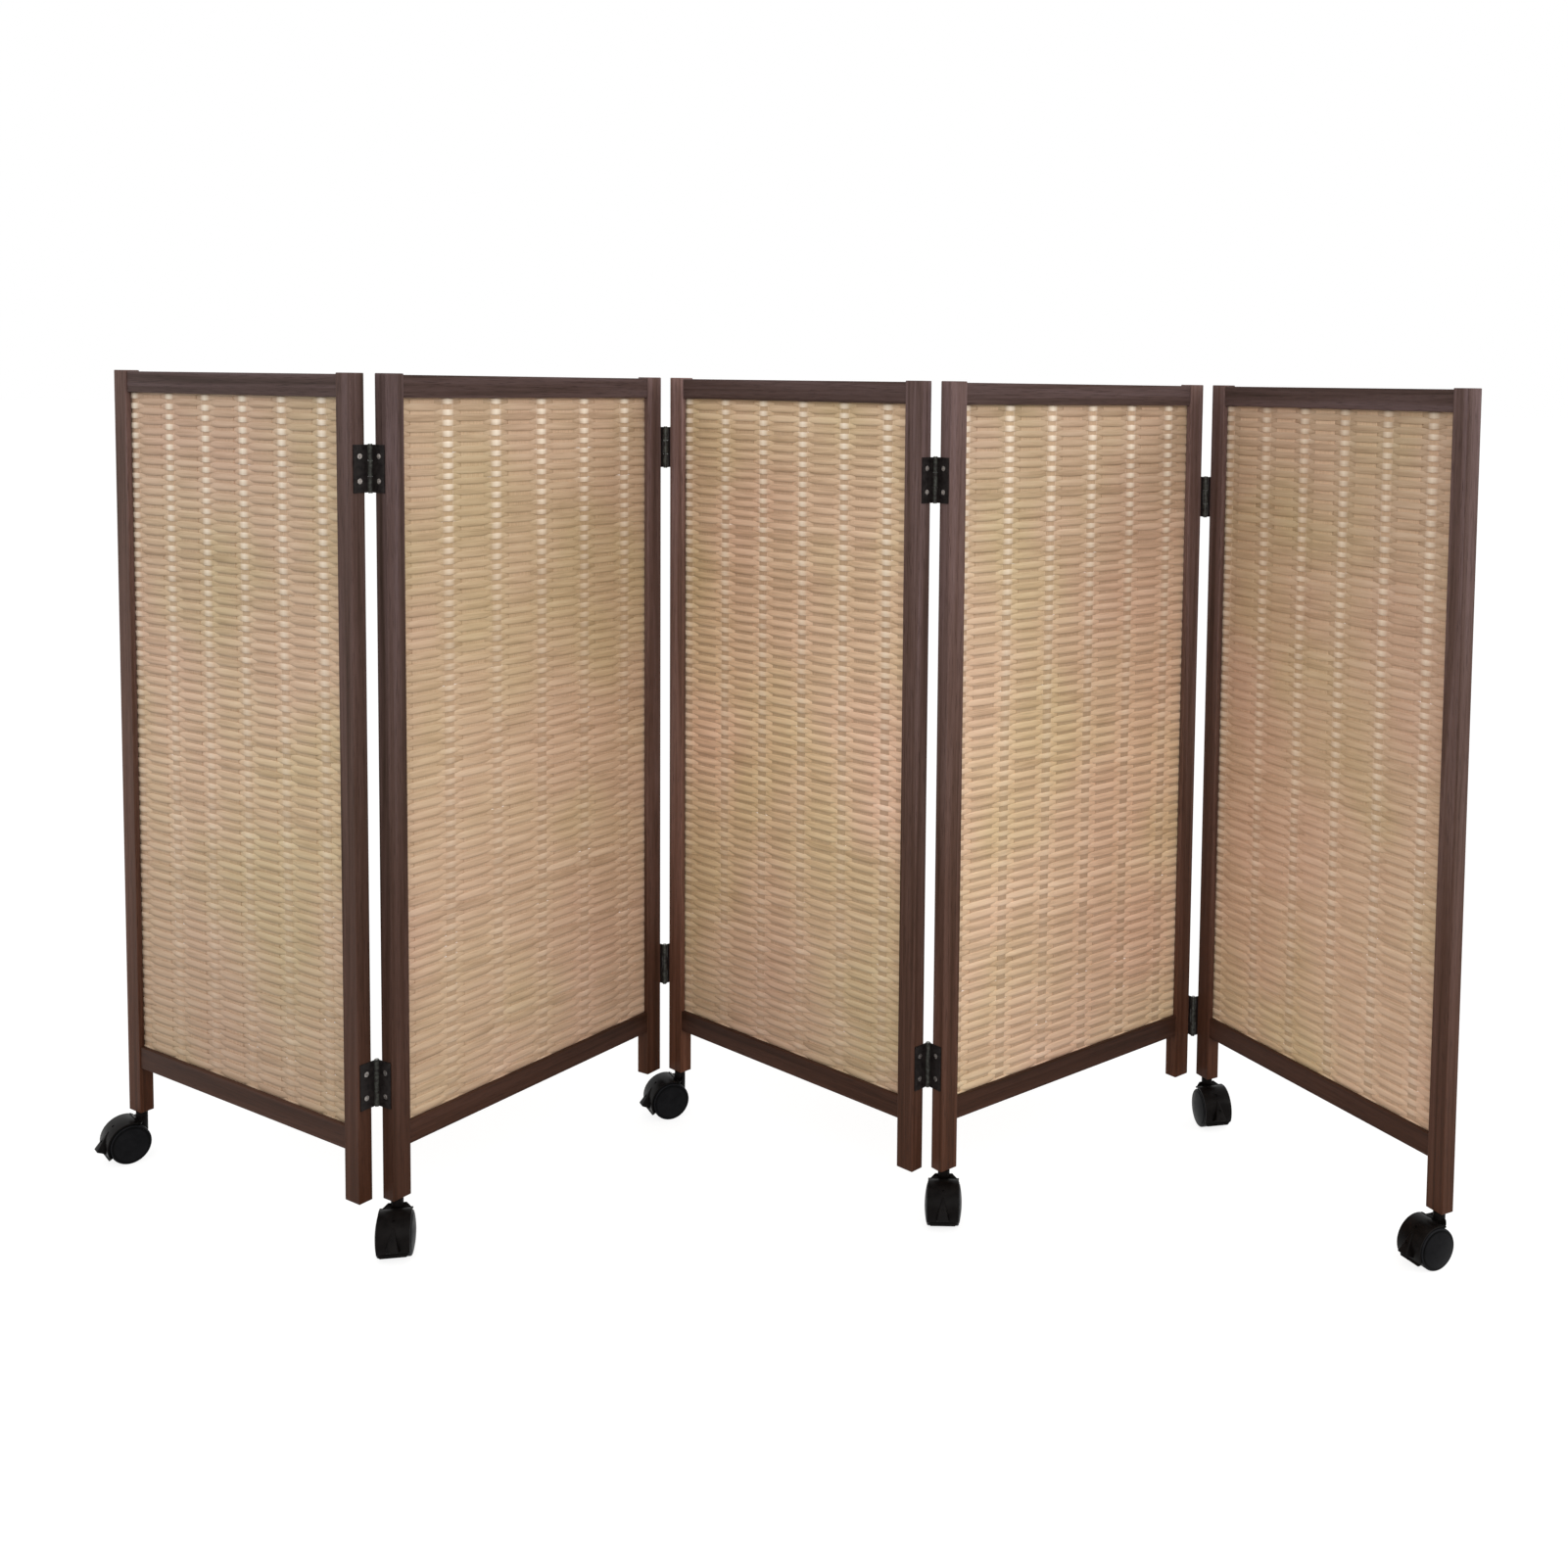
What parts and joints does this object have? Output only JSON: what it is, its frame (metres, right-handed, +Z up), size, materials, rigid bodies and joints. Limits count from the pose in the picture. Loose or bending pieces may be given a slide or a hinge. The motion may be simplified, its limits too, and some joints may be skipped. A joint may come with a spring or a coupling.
{
  "type": "folding privacy screen",
  "caption": "Folding privacy screen: wood-framed panels with horizontal woven slats, joined by butt hinges and rolling on hooded twin-wheel casters.",
  "frame": {"origin": "on the floor, under the middle of the standing screen's outline", "axes": "+X runs along the row of panels, left to right as the picture shows them; +Y goes away from the viewer; +Z is up"},
  "size_m": [1.6174, 0.5104, 0.995],
  "materials": {
    "dark_wood": "satin",
    "woven_mat": "matte",
    "black_hinge": "satin",
    "screw_steel": "satin",
    "pin_steel": "satin",
    "black_plastic": "matte",
    "wheel_plastic": "matte"
  },
  "bodies": {
    "panel_1": {"panel_1_left_post": "dark_wood", "panel_1_right_post": "dark_wood", "panel_1_top_rail": "dark_wood", "panel_1_bottom_rail": "dark_wood", "panel_1_mat": "woven_mat", "panel_1_hinge_leaves": "black_hinge", "panel_1_hinge_screws": "screw_steel", "panel_1_caster_stem": "pin_steel"},
    "panel_2": {"panel_2_left_post": "dark_wood", "panel_2_right_post": "dark_wood", "panel_2_top_rail": "dark_wood", "panel_2_bottom_rail": "dark_wood", "panel_2_mat": "woven_mat", "panel_2_hinge_leaves": "black_hinge", "panel_2_hinge_screws": "screw_steel", "panel_2_hinge_pins": "pin_steel", "panel_2_caster_stem": "pin_steel"},
    "panel_3": {"panel_3_left_post": "dark_wood", "panel_3_right_post": "dark_wood", "panel_3_top_rail": "dark_wood", "panel_3_bottom_rail": "dark_wood", "panel_3_mat": "woven_mat", "panel_3_hinge_leaves": "black_hinge", "panel_3_hinge_screws": "screw_steel", "panel_3_caster_stem": "pin_steel"},
    "panel_4": {"panel_4_left_post": "dark_wood", "panel_4_right_post": "dark_wood", "panel_4_top_rail": "dark_wood", "panel_4_bottom_rail": "dark_wood", "panel_4_mat": "woven_mat", "panel_4_hinge_leaves": "black_hinge", "panel_4_hinge_screws": "screw_steel", "panel_4_hinge_pins": "pin_steel", "panel_4_caster_stem": "pin_steel"},
    "panel_5": {"panel_5_left_post": "dark_wood", "panel_5_right_post": "dark_wood", "panel_5_top_rail": "dark_wood", "panel_5_bottom_rail": "dark_wood", "panel_5_mat": "woven_mat", "panel_5_hinge_leaves": "black_hinge", "panel_5_hinge_screws": "screw_steel", "panel_5_caster_stems": "pin_steel"},
    "caster_1_swivel": {"caster_1_housing": "black_plastic"},
    "caster_1_wheelset": {"caster_1_wheels": "wheel_plastic", "caster_1_axle": "pin_steel"},
    "caster_2_swivel": {"caster_2_housing": "black_plastic"},
    "caster_2_wheelset": {"caster_2_wheels": "wheel_plastic", "caster_2_axle": "pin_steel"},
    "caster_3_swivel": {"caster_3_housing": "black_plastic"},
    "caster_3_wheelset": {"caster_3_wheels": "wheel_plastic", "caster_3_axle": "pin_steel"},
    "caster_4_swivel": {"caster_4_housing": "black_plastic"},
    "caster_4_wheelset": {"caster_4_wheels": "wheel_plastic", "caster_4_axle": "pin_steel"},
    "caster_5_swivel": {"caster_5_housing": "black_plastic"},
    "caster_5_wheelset": {"caster_5_wheels": "wheel_plastic", "caster_5_axle": "pin_steel"},
    "caster_6_swivel": {"caster_6_housing": "black_plastic"},
    "caster_6_wheelset": {"caster_6_wheels": "wheel_plastic", "caster_6_axle": "pin_steel"}
  },
  "joints": [
    {"name": "fold_1", "type": "hinge", "parent": "panel_2", "child": "panel_1", "pos_m": [-0.40789, -0.10873, 0.5275], "axis": [0, 0, -1], "range_deg": [-91.6, 82.4]},
    {"name": "fold_2", "type": "hinge", "parent": "panel_3", "child": "panel_2", "pos_m": [-0.11161, 0.23591, 0.5275], "axis": [0, 0, 1], "range_deg": [-100, 74]},
    {"name": "fold_3", "type": "hinge", "parent": "panel_3", "child": "panel_4", "pos_m": [0.22016, -0.07472, 0.5275], "axis": [0, 0, 1], "range_deg": [-83.7, 90.3]},
    {"name": "fold_4", "type": "hinge", "parent": "panel_4", "child": "panel_5", "pos_m": [0.60126, 0.17292, 0.5275], "axis": [0, 0, -1], "range_deg": [-102.5, 67.5]},
    {"name": "caster_1_swivel_turn", "type": "hinge", "parent": "panel_1", "child": "caster_1_swivel", "pos_m": [-0.76099, 0.15297, 0.06], "axis": [0, 0, 1], "continuous": true},
    {"name": "caster_1_wheel_spin", "type": "hinge", "parent": "caster_1_swivel", "child": "caster_1_wheelset", "pos_m": [-0.77573, 0.14264, 0.0245], "axis": [0.5736, -0.8192, 0], "continuous": true},
    {"name": "caster_2_swivel_turn", "type": "hinge", "parent": "panel_2", "child": "caster_2_swivel", "pos_m": [-0.38734, -0.10634, 0.06], "axis": [0, 0, 1], "continuous": true},
    {"name": "caster_2_wheel_spin", "type": "hinge", "parent": "caster_2_swivel", "child": "caster_2_wheelset", "pos_m": [-0.38546, -0.12424, 0.0245], "axis": [0.9945, 0.1045, 0], "continuous": true},
    {"name": "caster_3_swivel_turn", "type": "hinge", "parent": "panel_3", "child": "caster_3_swivel", "pos_m": [-0.09092, 0.23576, 0.06], "axis": [0, 0, 1], "continuous": true},
    {"name": "caster_3_wheel_spin", "type": "hinge", "parent": "caster_3_swivel", "child": "caster_3_wheelset", "pos_m": [-0.10761, 0.22901, 0.0245], "axis": [0.3746, -0.9272, 0], "continuous": true},
    {"name": "caster_4_swivel_turn", "type": "hinge", "parent": "panel_4", "child": "caster_4_swivel", "pos_m": [0.24056, -0.07819, 0.06], "axis": [0, 0, 1], "continuous": true},
    {"name": "caster_4_wheel_spin", "type": "hinge", "parent": "caster_4_swivel", "child": "caster_4_wheelset", "pos_m": [0.23867, -0.09609, 0.0245], "axis": [0.9945, -0.1045, 0], "continuous": true},
    {"name": "caster_5_swivel_turn", "type": "hinge", "parent": "panel_5", "child": "caster_5_swivel", "pos_m": [0.6208, 0.1661, 0.06], "axis": [0, 0, 1], "continuous": true},
    {"name": "caster_5_wheel_spin", "type": "hinge", "parent": "caster_5_swivel", "child": "caster_5_wheelset", "pos_m": [0.6233, 0.14828, 0.0245], "axis": [0.9903, 0.1392, 0], "continuous": true},
    {"name": "caster_6_swivel_turn", "type": "hinge", "parent": "panel_5", "child": "caster_6_swivel", "pos_m": [0.79569, -0.22124, 0.06], "axis": [0, 0, 1], "continuous": true},
    {"name": "caster_6_wheel_spin", "type": "hinge", "parent": "caster_6_swivel", "child": "caster_6_wheelset", "pos_m": [0.779, -0.22799, 0.0245], "axis": [0.3746, -0.9272, 0], "continuous": true}
  ]
}
